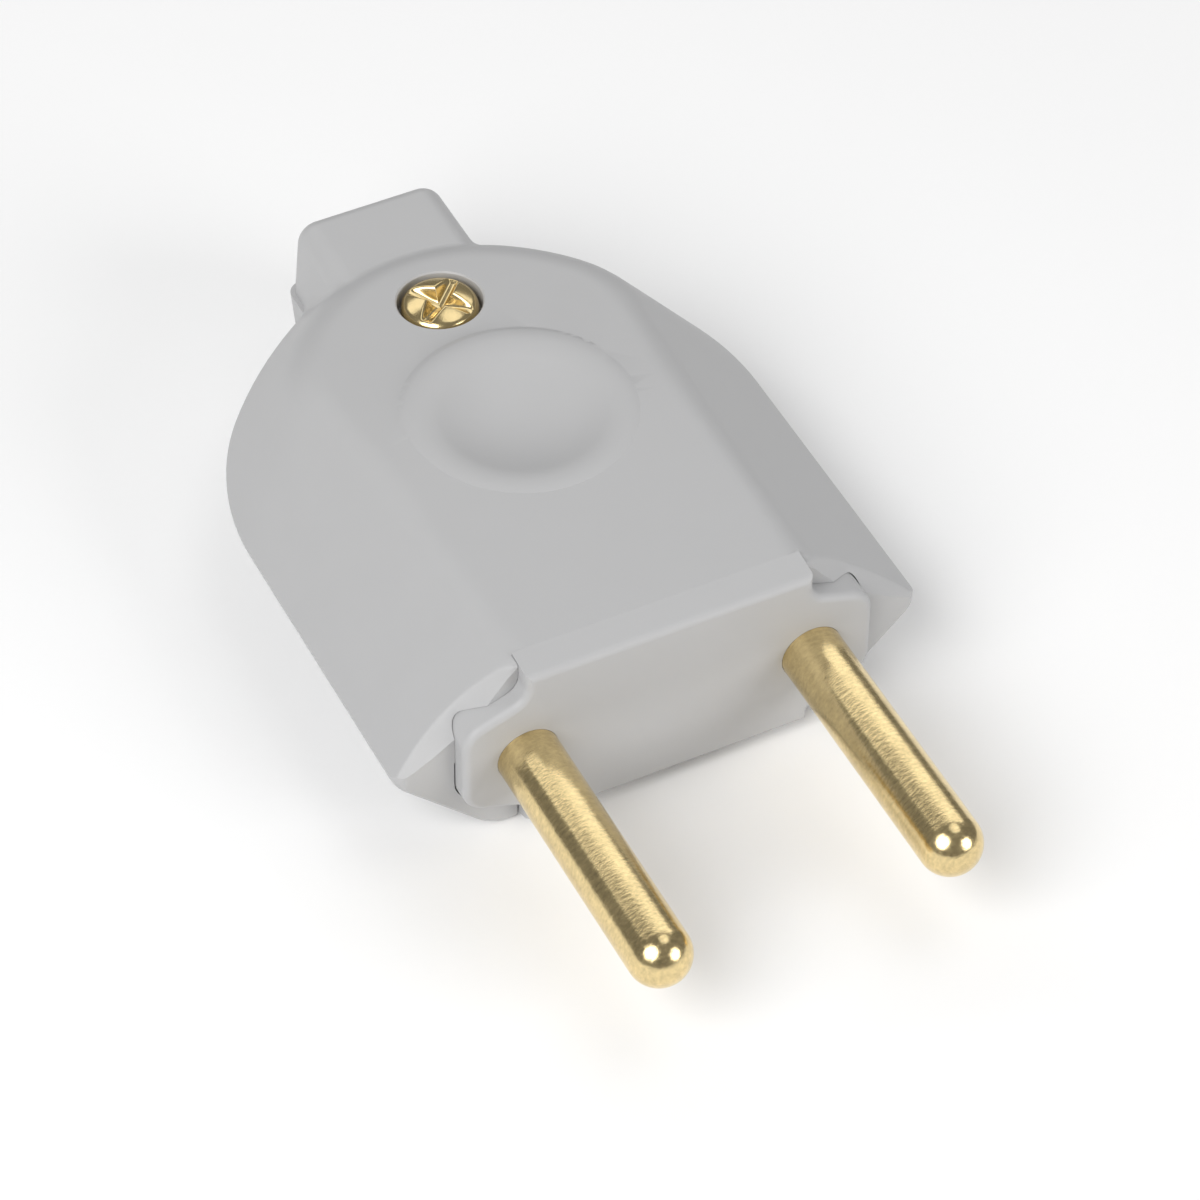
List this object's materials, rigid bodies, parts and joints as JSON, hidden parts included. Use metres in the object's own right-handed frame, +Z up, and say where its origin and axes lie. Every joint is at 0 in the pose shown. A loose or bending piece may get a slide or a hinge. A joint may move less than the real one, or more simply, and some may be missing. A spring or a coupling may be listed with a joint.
{
  "type": "two-pin plug",
  "caption": "Rewirable mains plug with round brass pins, a split grey moulded housing closed by a brass screw, a thumb dish on top and a square cord neck at the rear.",
  "frame": {"origin": "midway between the pins, on the front face of the pin carrier that meets the socket", "axes": "-Y along the pins towards the socket, +Y out of the cord neck, +Z up through the housing screw"},
  "size_m": [0.0352, 0.0628, 0.0136],
  "materials": {
    "housing": "satin moulded light grey",
    "carrier": "satin moulded light grey",
    "pin_brass": "turned satin brass",
    "fastener_brass": "bright brass"
  },
  "bodies": {
    "root": {"upper_shell": "housing", "lower_shell": "housing", "pin_carrier": "carrier", "pin_left": "pin_brass", "pin_right": "pin_brass", "terminal_screw_left": "fastener_brass", "terminal_screw_right": "fastener_brass", "housing_screw": "fastener_brass", "housing_nut": "fastener_brass"}
  },
  "joints": []
}
